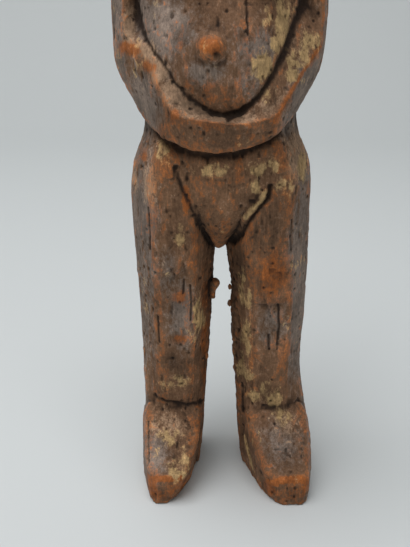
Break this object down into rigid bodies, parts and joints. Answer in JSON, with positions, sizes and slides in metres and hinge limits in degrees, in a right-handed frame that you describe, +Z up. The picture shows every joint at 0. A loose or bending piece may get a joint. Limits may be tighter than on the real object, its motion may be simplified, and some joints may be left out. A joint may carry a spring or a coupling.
{
  "type": "female figure",
  "caption": "Carved wooden female figure standing on block feet, with post-like legs, arms wrapped under a round belly, small breasts and a plain oval head.",
  "frame": {"origin": "on the floor, under the middle of the figure's bounding box", "axes": "+Z up the figure, which faces -Y; +X is on its left hand, a viewer's right"},
  "size_m": [0.0974, 0.0808, 0.3814],
  "materials": {
    "carved_wood": "weathered, matt, with earthy crust in the hollows"
  },
  "bodies": {
    "root": {"female_figure": "carved_wood"}
  },
  "joints": []
}
